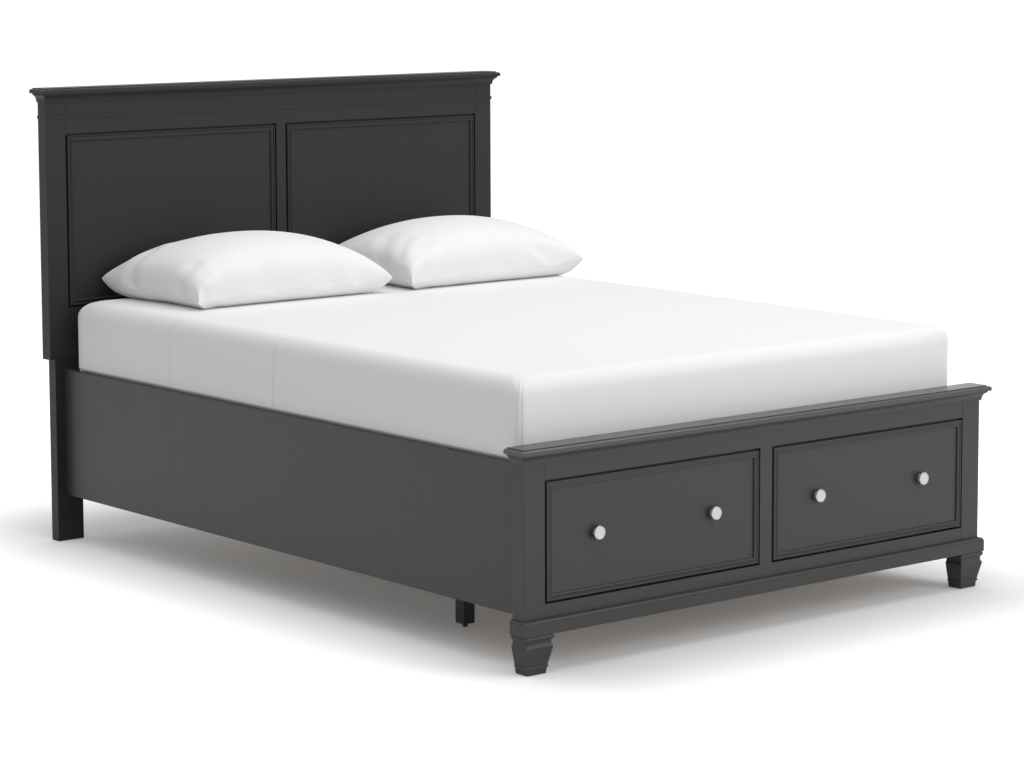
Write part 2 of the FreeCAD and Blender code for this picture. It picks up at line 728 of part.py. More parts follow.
# Drawer case behind the footboard
rear_rail_y = case_back_face - rear_rail_depth
case_back_front = case_back_face - case_back_thickness
case_side = block(opening_half, opening_half + case_side_thickness, foot_back, case_back_front,
                  case_bottom, beam_bottom)
partition = block(opening_inner - case_partition_thickness, opening_inner, foot_face + mid_stile_thickness,
                  case_back_front, case_bottom, beam_bottom)
keep("drawer_case_sides", case_side, mirrored(case_side), partition, mirrored(partition))
keep("drawer_case_back", block(-case_half, case_half, case_back_front, case_back_face, case_bottom, beam_bottom))
keep("drawer_case_rear_rail",
     block(-case_half, case_half, rear_rail_y, case_back_face, case_bottom - rear_rail_height, case_bottom))
case_leg_places = [(side * support_leg_x, case_back_face - rear_rail_depth / 2) for side in (-1, 1)]
keep("drawer_case_legs",
     *[support_leg(x, y, support_leg_side, case_bottom - rear_rail_height) for x, y in case_leg_places])
keep("levelling_glides", *[glide(x, y) for x, y in case_leg_places + beam_leg_places])

# Runners of one drawer. Each channel opens towards the drawer or, on the drawer, towards the case.
# The middle one carries the ball cages that bear on the other two.
runner_y = foot_face + field_recess + drawer_front_thickness + runner_start
runner_z = drawer_box_bottom + runner_lift
middle_height = runner_outer_height - 2 * (runner_metal + runner_ball_gap)
inner_height = middle_height - 2 * (runner_metal + runner_ball_gap)
cage_thickness = runner_ball_gap - runner_cage_play


def channel(web, depth, height, y, length, wall, step):
    """C channel. web and depth are measured from the case wall, which is at wall and faces along step."""
    back = wall + step * web
    front = wall + step * depth
    inner = back + math.copysign(runner_metal, front - back)
    open_end = front + math.copysign(overrun, front - back)
    body = block(min(back, front), max(back, front), y, y + length, runner_z - height / 2, runner_z + height / 2)
    room = block(min(inner, open_end), max(inner, open_end), y - overrun, y + length + overrun,
                 runner_z - height / 2 + runner_metal, runner_z + height / 2 - runner_metal)
    return body.cut(room)


def runner(wall, step):
    """Outer, middle and inner members of one runner."""
    middle_web = runner_metal + runner_web_gap
    outer = channel(0, runner_outer_depth, runner_outer_height, runner_y, runner_length, wall, step)
    middle = channel(middle_web, middle_web + runner_middle_depth, middle_height, runner_y,
                     runner_middle_length, wall, step)
    near = wall + step * runner_cage_start
    far = near + step * runner_cage_width
    for face in (middle_height / 2, middle_height / 2 - runner_metal - cage_thickness):
        for low in (face, -face - cage_thickness):
            middle = middle.fuse(block(min(near, far), max(near, far), runner_y, runner_y + runner_middle_length,
                                       runner_z + low, runner_z + low + cage_thickness))
    inner = channel(drawer_box_gap, drawer_box_gap - runner_inner_depth, inner_height, runner_y,
                    runner_length, wall, step)
    return outer, middle.removeSplitter(), inner


right_runners = [runner(opening_inner, 1), runner(opening_half, -1)]
outers = [r[0] for r in right_runners]
keep("runner_outer_members", *(outers + [mirrored(r) for r in outers]))
middles = [r[1] for r in right_runners]
keep("right_runner_middle_members", *middles)
keep("left_runner_middle_members", *[mirrored(r) for r in middles])
inners = [r[2] for r in right_runners]

# Right drawer; the left one is its mirror image
front_span = (opening_inner + drawer_gap, opening_half - drawer_gap,
              foot_opening_bottom + drawer_gap, foot_opening_top - drawer_gap)
field_span = (opening_inner + shadow_groove, opening_half - shadow_groove,
              foot_opening_bottom + shadow_groove, foot_opening_top - shadow_groove)
field_y = foot_face + field_recess
step_y = foot_face + shadow_groove_depth
front_back_y = field_y + drawer_front_thickness
plate = block(front_span[0], front_span[1], step_y, front_back_y, front_span[2], front_span[3])
field = block(field_span[0], field_span[1], field_y, step_y, field_span[2], field_span[3])
drawer_front = plate.fuse(field).removeSplitter()
drawer_frame = framed_moulding(*field_span, field_y)

knob_base = field_y
knob_back_length = drawer_front_thickness
knobs = []
knob_screws = []


def knob(x):
    """Round knob: foot, stem and a dished disc with a rim."""
    face = knob_length
    head = face - knob_head_thickness
    rim = knob_radius - knob_rim_width
    profile = [
        (0, 0), (knob_foot_radius, 0), (knob_foot_radius, knob_foot_thickness),
        (knob_stem_radius, knob_foot_thickness + knob_edge_round), (knob_stem_radius, head),
        (knob_radius - knob_edge_round, head), (knob_radius, head + knob_edge_round),
        (knob_radius, face - knob_edge_round), (knob_radius - knob_edge_round, face),
        (rim, face), (rim - knob_dish_depth, face - knob_dish_depth),
        (0, face - knob_dish_depth),
    ]
    turned = closed_face(lambda r, h: Vector(x + r, knob_base - h, knob_height), profile)
    shape = turned.revolve(Vector(x, knob_base, knob_height), Y, 360)
    bore = rod(Vector(x, knob_base - knob_screw_bite, knob_height), Y,
               knob_screw_radius + screw_clearance, knob_screw_bite)
    return shape.cut(bore)


def knob_screw(x, clearance=0):
    """Machine screw from inside the drawer, through the front and into the knob."""
    length = knob_screw_bite + knob_back_length
    shank = rod(Vector(x, knob_base - knob_screw_bite + screw_clearance - clearance, knob_height), Y,
                knob_screw_radius + clearance, length + clearance)
    if clearance:
        return shank
    head = rod(Vector(x, front_back_y, knob_height), Y, knob_screw_head_radius, knob_screw_head_height)
    return shank.fuse(head)


for x in (knob_inner_x, knob_outer_x):
    knobs.append(knob(x))
    knob_screws.append(knob_screw(x))
    drawer_front = drawer_front.cut(knob_screw(x, screw_clearance))

box_inner = opening_inner + drawer_box_gap
box_outer = opening_half - drawer_box_gap
box_back_y = front_back_y + drawer_box_length
box_top = drawer_box_bottom + drawer_box_height
bottom_z = drawer_box_bottom + drawer_bottom_lift
box_bottom = block(box_inner + drawer_side_thickness - drawer_groove_depth,
                   box_outer - drawer_side_thickness + drawer_groove_depth,
                   front_back_y, box_back_y, bottom_z, bottom_z + drawer_bottom_thickness)
box_sides = []
for near, far in ((box_inner, box_inner + drawer_side_thickness), (box_outer - drawer_side_thickness, box_outer)):
    box_side = block(near, far, front_back_y, box_back_y, drawer_box_bottom, box_top)
    box_sides.append(box_side.cut(box_bottom))
box_back = block(box_inner + drawer_side_thickness, box_outer - drawer_side_thickness,
                 box_back_y - drawer_side_thickness, box_back_y, bottom_z + drawer_bottom_thickness, box_top)

drawer_pieces = {
    "drawer_front": [drawer_front],
    "drawer_front_moulding": drawer_frame,
    "drawer_box_sides": box_sides,
    "drawer_box_back": [box_back],
    "drawer_box_bottom": [box_bottom],
    "drawer_knobs": knobs + knob_screws,
    "runner_inner_members": inners,
}
for name, solids in drawer_pieces.items():
    keep("right_" + name, *solids)
    keep("left_" + name, *[mirrored(s) for s in solids])

# Mattress, fitted sheet and pillows
mattress_foot = foot_back + mattress_foot_gap
mattress_head = mattress_foot + mattress_length


def mattress_outline(low, high, grow):
    """Side view of the mattress: straight between the rails, swelling above them, rounded over the top."""
    bulge = mattress_swell
    curve = mattress_edge_round
    lean = 1 - math.cos(math.pi / 4)
    bottom = deck_top
    top = mattress_top + grow
    neck = rail_top
    swell = neck + mattress_swell_height
    low = low - grow
    high = high + grow
    half_rise = (neck + swell) / 2
    return [
        (low + mattress_bottom_round, bottom), (high - mattress_bottom_round, bottom),
        (high, bottom + mattress_bottom_round), (high, neck),
        (high + bulge * swell_share, half_rise, high + bulge, swell), (high + bulge, top - curve),
        (high + bulge - curve * lean, top - curve * lean, high + bulge - curve, top),
        (low - bulge + curve, top),
        (low - bulge + curve * lean, top - curve * lean, low - bulge, top - curve),
        (low - bulge, swell), (low - bulge * swell_share, half_rise, low, neck),
        (low, bottom + mattress_bottom_round),
    ]


def mattress_form(grow):
    half = mattress_width / 2
    span_x = (-half - mattress_swell - overrun, half + mattress_swell + overrun)
    span_y = (mattress_foot - mattress_swell - overrun, mattress_head + mattress_swell + overrun)
    form = crossed(mattress_outline(-half, half, grow), mattress_outline(mattress_foot, mattress_head, grow),
                   span_x, span_y)
    reach = mattress_swell + grow
    plan = eased(block(-half - reach, half + reach, mattress_foot - reach, mattress_head + reach,
                       deck_top - overrun, mattress_top + overrun),
                 mattress_corner_round + grow, lambda p, t: along(t, Z))
    return form.common(plan)


mattress = mattress_form(0)
keep("mattress", mattress)
sheet_hem = deck_top + mattress_bottom_round
sheet_room = block(-rail_outer_half, rail_outer_half, foot_face, head_back, sheet_hem, mattress_top + overrun)
keep("fitted_sheet", mattress_form(sheet_thickness).common(sheet_room).cut(mattress))


def pillow_ring(centre, size, height):
    """Outline of a pillow at one height: its sides draw in between the corners."""
    half_x = pillow_length / 2
    half_y = pillow_depth / 2
    corners = [Vector(-half_x, -half_y, 0), Vector(half_x, -half_y, 0),
               Vector(half_x, half_y, 0), Vector(-half_x, half_y, 0)]
    points = []
    for i, start in enumerate(corners):
        side = corners[(i + 1) % len(corners)] - start
        inward = Z.cross(side).normalize()
        for step in range(pillow_side_steps):
            share = step / pillow_side_steps
            draw = pillow_side_draw * math.sin(math.pi * share)
            points.append(centre + (start + side * share + inward * draw) * size + Z * height)
    return Part.makePolygon(points + points[:1])


def pillow(x):
    """Crowned pillow on a flat base, widest at its seam, with drawn-in sides."""
    y = head_face - pillow_back_gap - pillow_depth / 2
    centre = Vector(x, y, mattress_top + sheet_thickness + seat_clearance)
    rings = [pillow_ring(centre, size, height * pillow_crown) for size, height in pillow_ring_shares]
    loft = Part.makeLoft(rings, True, True)
    # Rings of one shape make flat strips, so each is kept as a plane face
    corners = [[v.Point for v in face.OuterWire.OrderedVertexes] for face in loft.Faces]
    strips = [Part.Face(Part.makePolygon(points + points[:1])) for points in corners]
    return Part.makeSolid(Part.makeShell(strips))


keep("left_pillow", pillow(left_pillow_x))
keep("right_pillow", pillow(right_pillow_x))

# Export
os.makedirs("parts", exist_ok=True)
for name, shape in nodes.items():
    shape.exportStep("parts/" + name + ".step")
print(len(nodes), "nodes,", sum(len(s.Solids) for s in nodes.values()), "solids")
print("foot_face", foot_face, "head_face", head_face, "deck_top", deck_top, "mattress_top", mattress_top)
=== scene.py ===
import json
import math
import bpy
import bmesh
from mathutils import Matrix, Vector


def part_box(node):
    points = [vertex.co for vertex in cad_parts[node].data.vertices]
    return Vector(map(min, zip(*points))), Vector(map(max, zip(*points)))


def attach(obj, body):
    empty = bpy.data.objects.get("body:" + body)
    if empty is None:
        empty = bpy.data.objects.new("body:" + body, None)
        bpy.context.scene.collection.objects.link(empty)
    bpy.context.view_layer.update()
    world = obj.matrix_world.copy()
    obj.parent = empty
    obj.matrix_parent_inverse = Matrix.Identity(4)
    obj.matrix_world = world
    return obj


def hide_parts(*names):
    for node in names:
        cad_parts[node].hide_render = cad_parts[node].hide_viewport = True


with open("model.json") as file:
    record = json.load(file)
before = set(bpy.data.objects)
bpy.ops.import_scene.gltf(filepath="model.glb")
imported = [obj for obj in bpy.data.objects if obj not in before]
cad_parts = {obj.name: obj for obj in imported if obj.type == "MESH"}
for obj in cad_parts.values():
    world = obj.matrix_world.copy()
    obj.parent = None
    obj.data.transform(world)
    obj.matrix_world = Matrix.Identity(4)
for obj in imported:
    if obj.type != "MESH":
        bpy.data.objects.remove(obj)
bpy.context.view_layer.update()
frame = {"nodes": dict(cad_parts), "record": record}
nodes = frame["nodes"]
scene = bpy.context.scene
print("storage bed:", len(nodes), "CAD nodes loaded")


# small helpers for shader nodes, where a value is a plain one or a (node, output) pair

def feed(tree, node, inputs):
    for name, value in inputs.items():
        if isinstance(value, tuple) and isinstance(value[0], bpy.types.Node):
            tree.links.new(value[0].outputs[value[1]], node.inputs[name])
        else:
            node.inputs[name].default_value = value


def addNode(tree, kind, inputs={}, **settings):
    node = tree.nodes.new(kind)
    for name, value in settings.items():
        setattr(node, name, value)
    feed(tree, node, inputs)
    return node


def mathValue(tree, operation, *values, **settings):
    return addNode(tree, "ShaderNodeMath", dict(enumerate(values)),
                   operation=operation, **settings), 0


def vectorValue(tree, operation, *values):
    return addNode(tree, "ShaderNodeVectorMath", dict(enumerate(values)), operation=operation), 0


def scaled(tree, vector, factor):
    return addNode(tree, "ShaderNodeVectorMath", {0: vector, "Scale": factor},
                   operation="SCALE"), "Vector"


def spread(tree, source, low, high):
    # turns a 0-1 value into one between low and high
    return addNode(tree, "ShaderNodeMapRange",
                   {"Value": source, "To Min": low, "To Max": high}), "Result"


def wander(tree, middle, source, amount):
    # a value that strays from its middle by up to half the amount
    stray = mathValue(tree, "SUBTRACT", source, 0.5)
    return mathValue(tree, "ADD", middle, mathValue(tree, "MULTIPLY", stray, amount))


def noise(tree, vector, scale, detail):
    return addNode(tree, "ShaderNodeTexNoise",
                   {"Vector": vector, "Scale": scale, "Detail": detail})


# effects shared by several finishes, each with a colour, a roughness and a height

def newEffect(name, inputs):
    effect = bpy.data.node_groups.new(name, "ShaderNodeTree")
    for label, kind, value in inputs:
        socket = effect.interface.new_socket(label, in_out="INPUT", socket_type=kind)
        if value is not None:
            socket.default_value = value
    for label, kind in (("Colour", "NodeSocketColor"), ("Roughness", "NodeSocketFloat"),
                        ("Height", "NodeSocketFloat")):
        effect.interface.new_socket(label, in_out="OUTPUT", socket_type=kind)
    return effect, addNode(effect, "NodeGroupInput")


def endEffect(effect, colour, roughness, height):
    addNode(effect, "NodeGroupOutput", {"Colour": colour, "Roughness": roughness, "Height": height})
    return effect


def makePaintFilm():
    # sprayed paint: slow drift in tone and sheen, and a fine orange peel
    effect, start = newEffect("paintFilm", [
        ("Colour", "NodeSocketColor", (0.07, 0.07, 0.07, 1)),
        ("Drift", "NodeSocketFloat", 0.04),
        ("Sheen", "NodeSocketFloat", 0.42),
        ("Peel Scale", "NodeSocketFloat", 420.0),
    ])
    place = (addNode(effect, "ShaderNodeTexCoord"), "Object")
    drift = noise(effect, place, scale=3.2, detail=3.0)
    peel = noise(effect, place, scale=(start, "Peel Scale"), detail=2.0)
    cloud = noise(effect, place, scale=26.0, detail=4.0)
    tone = spread(effect, (drift, "Fac"),
                  low=mathValue(effect, "SUBTRACT", 1.0, (start, "Drift")),
                  high=mathValue(effect, "ADD", 1.0, (start, "Drift")))
    return endEffect(effect, scaled(effect, (start, "Colour"), tone),
                     wander(effect, (start, "Sheen"), (cloud, "Fac"), amount=0.12), (peel, "Fac"))


def makeBoardGrain():
    # softwood and plywood: long streaks along X of the vector, rings across it
    effect, start = newEffect("boardGrain", [
        ("Vector", "NodeSocketVector", None),
        ("Early Wood", "NodeSocketColor", (0.62, 0.45, 0.27, 1)),
        ("Late Wood", "NodeSocketColor", (0.42, 0.27, 0.14, 1)),
        ("Streaks", "NodeSocketFloat", 34.0),
    ])
    place = (start, "Vector")
    warp = noise(effect, place, scale=1.6, detail=3.0)
    bent = vectorValue(effect, "ADD", place, scaled(effect, (warp, "Color"), factor=0.10))
    rings = addNode(effect, "ShaderNodeTexWave", {
        "Vector": bent, "Scale": (start, "Streaks"),
        "Distortion": 3.0, "Detail": 3.0, "Detail Scale": 1.4}, bands_direction="Y")
    fibre = noise(effect, place, scale=160.0, detail=5.0)
    # two thirds rings, one third fibre
    grain = mathValue(effect, "ADD", mathValue(effect, "MULTIPLY", (rings, "Fac"), 0.65),
                      mathValue(effect, "MULTIPLY", (fibre, "Fac"), 0.35))
    # a colour Mix node has its factor, first and second colour at sockets 0, 6 and 7
    wood = addNode(effect, "ShaderNodeMix", {
        0: grain, 6: (start, "Early Wood"), 7: (start, "Late Wood")}, data_type="RGBA")
    return endEffect(effect, (wood, 2), spread(effect, (fibre, "Fac"), low=0.52, high=0.72), grain)


def makeThreadWeave():
    # plain weave over a cloth's own flat map, which is in metres
    effect, start = newEffect("threadWeave", [
        ("Vector", "NodeSocketVector", None),
        ("Colour", "NodeSocketColor", (0.8, 0.8, 0.8, 1)),
        ("Thread Width", "NodeSocketFloat", 0.0006),
        ("Slubs", "NodeSocketFloat", 0.02),
    ])
    place = (start, "Vector")
    axes = addNode(effect, "ShaderNodeSeparateXYZ", {"Vector": place})
    turns = mathValue(effect, "DIVIDE", math.pi, (start, "Thread Width"))
    warp, weft = [mathValue(effect, "SINE", mathValue(effect, "MULTIPLY", (axes, axis), turns))
                  for axis in ("X", "Y")]
    over = mathValue(effect, "MULTIPLY", mathValue(effect, "MULTIPLY", warp, weft), 0.5)
    over = mathValue(effect, "ADD", over, 0.5)
    slub = noise(effect, place, scale=60.0, detail=4.0)
    tone = spread(effect, (slub, "Fac"),
                  low=mathValue(effect, "SUBTRACT", 1.0, (start, "Slubs")), high=1.0)
    return endEffect(effect, scaled(effect, (start, "Colour"), tone),
                     spread(effect, over, low=0.86, high=0.94), over)


def makeMetalGrain():
    # plated metal: a fine grain of scratches over slow clouds
    effect, start = newEffect("metalGrain", [
        ("Vector", "NodeSocketVector", None),
        ("Colour", "NodeSocketColor", (0.6, 0.6, 0.6, 1)),
        ("Sheen", "NodeSocketFloat", 0.34),
        ("Scratches", "NodeSocketFloat", 900.0),
    ])
    place = (start, "Vector")
    scratch = noise(effect, place, scale=(start, "Scratches"), detail=3.0)
    cloud = noise(effect, place, scale=55.0, detail=3.0)
    tone = spread(effect, (cloud, "Fac"), low=0.93, high=1.03)
    return endEffect(effect, scaled(effect, (start, "Colour"), tone),
                     wander(effect, (start, "Sheen"), (scratch, "Fac"), amount=0.22),
                     (scratch, "Fac"))


paintFilm = makePaintFilm()
boardGrain = makeBoardGrain()
threadWeave = makeThreadWeave()
metalGrain = makeMetalGrain()

# finishes: what goes into the effect, its bump's strength and distance, and the surface's own
# values; a pattern that needs a map reads Object or UV, stretched and turned as given
charcoal = {"Colour": (0.0400, 0.0404, 0.0412, 1), "Drift": 0.05, "Sheen": 0.42,
            "Peel Scale": 420.0}
pine = {"Early Wood": (0.66, 0.49, 0.31, 1), "Late Wood": (0.47, 0.31, 0.17, 1)}
finishes = {
    "charcoalPaint": {
        "effect": paintFilm, "values": charcoal,
        "bump": (0.10, 0.0004), "surface": {"Specular IOR Level": 0.3}},
    "capPaint": {                # the footboard's cap is rubbed smoother
        "effect": paintFilm, "values": {**charcoal, "Sheen": 0.26},
        "bump": (0.08, 0.0003), "surface": {"Specular IOR Level": 0.5}},
    "headboardShadedPaint": {          # the same charcoal painted darker: painted shade for the headboard, which gets less light
        "effect": paintFilm, "values": {**charcoal, "Colour": (0.0268, 0.0271, 0.0278, 1)},
        "bump": (0.10, 0.0004), "surface": {"Specular IOR Level": 0.15}},
    "blackPaint": {
        "effect": paintFilm,
        "values": {"Colour": (0.018, 0.018, 0.019, 1), "Drift": 0.06, "Sheen": 0.55,
                   "Peel Scale": 300.0},
        "bump": (0.14, 0.0005), "surface": {"Specular IOR Level": 0.4}},
    "glidePlastic": {
        "effect": paintFilm,
        "values": {"Colour": (0.014, 0.014, 0.015, 1), "Drift": 0.03, "Sheen": 0.48,
                   "Peel Scale": 900.0},
        "bump": (0.20, 0.0003), "surface": {"Specular IOR Level": 0.5}},
    "pineAcross": {              # the grain runs along the axis with the small stretch
        "effect": boardGrain, "values": pine,
        "bump": (0.18, 0.0006), "surface": {"Specular IOR Level": 0.35},
        "reads": "Object", "stretch": (0.12, 1, 1)},
    "pineAlong": {
        "effect": boardGrain, "values": pine,
        "bump": (0.18, 0.0006), "surface": {"Specular IOR Level": 0.35},
        "reads": "Object", "stretch": (1, 0.12, 1), "turn": 90},
    "zincPlate": {
        "effect": metalGrain,
        "values": {"Colour": (0.55, 0.56, 0.58, 1), "Sheen": 0.36, "Scratches": 700.0},
        "bump": (0.08, 0.0002), "surface": {"Metallic": 1.0},
        "reads": "Object", "stretch": (1, 0.15, 1)},
    "satinNickel": {
        "effect": metalGrain,
        "values": {"Colour": (0.47, 0.46, 0.445, 1), "Sheen": 0.33, "Scratches": 1200.0},
        "bump": (0.06, 0.0002), "surface": {"Metallic": 1.0}, "reads": "Object"},
    "sheetCotton": {
        "effect": threadWeave,
        "values": {"Colour": (0.80, 0.80, 0.805, 1), "Thread Width": 0.0007, "Slubs": 0.015},
        "bump": (0.10, 0.0002), "reads": "UV",
        "surface": {"Specular IOR Level": 0.2, "Sheen Weight": 0.12, "Sheen Roughness": 0.5}},
    "pillowCotton": {
        "effect": threadWeave,
        "values": {"Colour": (0.795, 0.795, 0.80, 1), "Thread Width": 0.0006, "Slubs": 0.015},
        "bump": (0.10, 0.0002), "reads": "UV",
        "surface": {"Specular IOR Level": 0.2, "Sheen Weight": 0.15, "Sheen Roughness": 0.5}},
    "mattressTicking": {
        "effect": threadWeave,
        "values": {"Colour": (0.72, 0.72, 0.70, 1), "Thread Width": 0.0012, "Slubs": 0.05},
        "bump": (0.25, 0.0005), "reads": "Object",
        "surface": {"Specular IOR Level": 0.25, "Sheen Weight": 0.1}},
}


def newFinish(name, effect, values, bump, surface, reads=None, stretch=(1, 1, 1), turn=0):
    material = bpy.data.materials.new(name)
    material.use_nodes = True
    tree = material.node_tree
    film = addNode(tree, "ShaderNodeGroup", values, node_tree=effect)
    if reads:
        mapping = addNode(tree, "ShaderNodeMapping", {
            "Vector": (addNode(tree, "ShaderNodeTexCoord"), reads),
            "Rotation": (0, 0, math.radians(turn)), "Scale": stretch})
        feed(tree, film, {"Vector": (mapping, "Vector")})
    relief = addNode(tree, "ShaderNodeBump", {
        "Strength": bump[0], "Distance": bump[1], "Height": (film, "Height")})
    feed(tree, tree.nodes["Principled BSDF"], {
        "Base Color": (film, "Colour"), "Roughness": (film, "Roughness"),
        "Normal": (relief, "Normal"), **surface})
    return material


finishOf = {name: newFinish(name, **recipe) for name, recipe in finishes.items()}
print("finishes ready:", len(finishOf))

slotFinish = {
    "charcoal_paint": "charcoalPaint", "black_paint": "blackPaint", "bare_wood": "pineAcross",
    "zinc_steel": "zincPlate", "satin_nickel": "satinNickel", "glide_plastic": "glidePlastic",
    "mattress_ticking": "mattressTicking", "white_sheet": "sheetCotton",
    "pillow_cotton": "pillowCotton",
}
alongBed = ("slat_cleats", "centre_beam", "drawer_case_sides", "left_drawer_box_sides",
            "right_drawer_box_sides")
for part in frame["record"]["subparts"]:
    solid = nodes[part["node"]]
    finish = slotFinish[part["material_slot"]]
    if part["node"] in alongBed:
        finish = "pineAlong"
    # the headboard takes the darker copy of the charcoal, which is painted shade
    if part["node"].startswith("headboard"):
        finish = "headboardShadedPaint"
    if part["node"] == "footboard_cap":
        finish = "capPaint"
    if not solid.material_slots:
        solid.data.materials.append(finishOf[finish])
    for holder in solid.material_slots:
        holder.material = finishOf[finish]
print("finishes on the frame")


# helpers for the soft pieces' meshes

def deselectAll():
    if bpy.context.object and bpy.context.object.mode != "OBJECT":
        bpy.ops.object.mode_set(mode="OBJECT")
    bpy.ops.object.select_all(action="DESELECT")


def onlySelect(obj):
    deselectAll()
    obj.select_set(True)
    bpy.context.view_layer.objects.active = obj


def sewFace(mesh, flat, corners, places):
    # a face with its corners' places on the flat cloth
    for loop, place in zip(mesh.faces.new(corners).loops, places):
        loop[flat].uv = place


def meshObject(name, mesh):
    data = bpy.data.meshes.new(name)
    mesh.to_mesh(data)
    mesh.free()
    obj = bpy.data.objects.new(name, data)
    scene.collection.objects.link(obj)
    return obj


def shadeSmooth(obj):
    for polygon in obj.data.polygons:
        polygon.use_smooth = True


def clamped(value):
    return min(max(value, 0.0), 1.0)


# how the mattress and its sheet are both laid out, in rings from the hem to the top's middle
wrap = {
    "sideRing": 0.02,            # height between the rings under the swell
    "ringGap": 0.004,            # none comes closer than this under the swell's first ring
    "swellRings": 6,
    "straightRings": 4,
    "edgeRings": 8,
    "topRings": 28,
    "topSpacing": 0.25,          # spacing at the edge against that in the middle
    "middleStrip": 0.012,        # half the width of the last ring
    "swellCurve": 1.2,
    "endFlare": 0.004,           # height over which the ends stand proud, behind the boards
    "edgeStart": 0.1,            # the edge starts to turn in higher than this above the rails
    "creaseStep": 0.0011,        # spacing of the points at a crease
    "creasePoints": (-50, 12),
    "groovePlace": 1.9,          # the groove beside a corner's seam, in widths of the seam
    "grooveWidth": 0.8,
    # shares of a corner's turn, close together at its seam
    "cornerStops": (0.0, 0.12, 0.23, 0.33, 0.405, 0.445, 0.468, 0.484, 0.5, 0.516, 0.532, 0.555,
                    0.595, 0.67, 0.77, 0.88),
}


def sideStops(length, creases, perSide):
    # shares along a straight side, with close ones where a crease lies
    stops = [i / perSide for i in range(perSide)]
    for place in creases:
        for i in range(*wrap["creasePoints"]):
            stops.append(0.5 + (place + wrap["creaseStep"] * i) / length)
    return sorted(stops)


def plumpRing(halfX, halfY, centreY, corner, z, data, stops, welt):
    # points round a rectangle with rounded corners, the same number on each ring
    points = []
    corner = max(min(corner, halfX - 0.001, halfY - 0.001), 0.0005)    # stays inside the ring
    straightX = halfX - corner
    straightY = halfY - corner
    for side, (outX, outY) in enumerate(((0, -1), (1, 0), (0, 1), (-1, 0))):
        straight = straightX if outX == 0 else straightY
        for share in stops[side]:
            along = 2 * straight * share - straight
            points.append((outX * halfX - outY * along, outY * halfY + outX * along + centreY, z,
                           outX, outY))
        signX = 1 if side in (0, 1) else -1
        signY = -1 if side in (0, 3) else 1
        for share in wrap["cornerStops"]:
            angle = share * math.pi / 2 + math.pi / 2 * side - math.pi / 2
            outX, outY = math.cos(angle), math.sin(angle)
            away = (share - 0.5) * math.pi / 2 * corner / data["seamWidth"]
            beside = (away - wrap["groovePlace"]) / wrap["grooveWidth"]
            rise = data["seamHeight"] * math.exp(-away * away)
            rise -= data["seamGroove"] * math.exp(-beside ** 2)
            reach = corner + rise * welt
            points.append((signX * straightX + reach * outX,
                           signY * straightY + reach * outY + centreY, z, outX, outY))
    return points


def sideProfile(top, bottom, data):
    # how far in from the widest outline, and how high, from the hem to the flat top
    profile = []
    edge = data["edgeRound"]
    swellTop = data["sideStart"] + data["swellHeight"]
    z = bottom
    while z < data["sideStart"] - wrap["ringGap"]:
        profile.append((data["sideSwell"], z))
        z += wrap["sideRing"]
    for i in range(wrap["swellRings"] + 1):
        share = i / wrap["swellRings"]
        out = math.sin(math.pi / 2 * share) ** wrap["swellCurve"]
        profile.append((data["sideSwell"] * (1 - out),
                        data["sideStart"] + data["swellHeight"] * share))
    straight = top - edge - swellTop
    for i in range(1, wrap["straightRings"] + 1):
        profile.append((0.0, swellTop + straight * i / wrap["straightRings"]))
    for i in range(1, wrap["edgeRings"] + 1):
        angle = math.pi / 2 * i / wrap["edgeRings"]
        profile.append((edge * (1 - math.cos(angle)), top - edge + edge * math.sin(angle)))
    return profile


def wrappedForm(name, low, high, bottom, data, closed):
    # rings up the side, over the edge and in across the top
    centreY = (low.y + high.y) / 2
    halfX = (high.x - low.x) / 2
    halfY = (high.y - low.y) / 2
    profile = sideProfile(high.z, bottom, data)
    # the left side runs from the headboard to the footboard
    creases = [-place for place in data["creases"]]
    stops = [sideStops(2 * halfY, creases if side == 3 else [], data["perSide"])
             for side in range(4)]
    mesh = bmesh.new()
    flat = mesh.loops.layers.uv.new("clothMap")
    rings = []

    # down the side, the flat cloth goes on outwards from the edge of the top
    inner = profile[-1][0]
    lengths = [0.0]
    for a, b in zip(reversed(profile[:-1]), reversed(profile[1:])):
        lengths.insert(0, lengths[0] + math.hypot(a[0] - b[0], a[1] - b[1]))
    for (inset, z), length in zip(profile, lengths):
        turned = inset if z > data["sideStart"] + wrap["edgeStart"] else 0
        flared = z < data["sideStart"] + wrap["endFlare"]
        endInset = inset - data["sideSwell"] if flared else turned
        corner = data["cornerRound"] + data["cornerSoft"] * turned
        ring = plumpRing(halfX - inset, halfY - endInset, centreY, corner, z, data, stops, 1.0)
        reach = length + inset - inner
        rings.append(([mesh.verts.new(p[:3]) for p in ring],
                      [(p[0] + p[3] * reach, p[1] + p[4] * reach) for p in ring]))

    topCorner = data["cornerRound"] + data["cornerSoft"] * inner
    spacing = wrap["topSpacing"]
    for i in range(1, wrap["topRings"] + 1):
        share = i / wrap["topRings"]
        inset = inner + ((halfX - inner - wrap["middleStrip"]) * share
                         * (spacing + (1 - spacing) * share))
        welt = max(1 - i / 2, 0)                # the seam dies out on the second ring
        ring = plumpRing(halfX - inset, halfY - inset, centreY, topCorner, high.z, data, stops,
                         welt)
        rings.append(([mesh.verts.new(p[:3]) for p in ring], [(p[0], p[1]) for p in ring]))

    count = len(rings[0][0])
    for (lower, lowerMap), (upper, upperMap) in zip(rings, rings[1:]):
        for i in range(count):
            j = (i + 1) % count
            sewFace(mesh, flat, (lower[i], lower[j], upper[j], upper[i]),
                    (lowerMap[i], lowerMap[j], upperMap[j], upperMap[i]))
    sewFace(mesh, flat, *rings[-1])
    if closed:
        bottomRing, bottomMap = rings[0]
        sewFace(mesh, flat, bottomRing[::-1], bottomMap[::-1])
    bmesh.ops.triangulate(mesh, faces=[f for f in mesh.faces if len(f.verts) > 4])
    obj = meshObject(name, mesh)
    shadeSmooth(obj)
    return obj


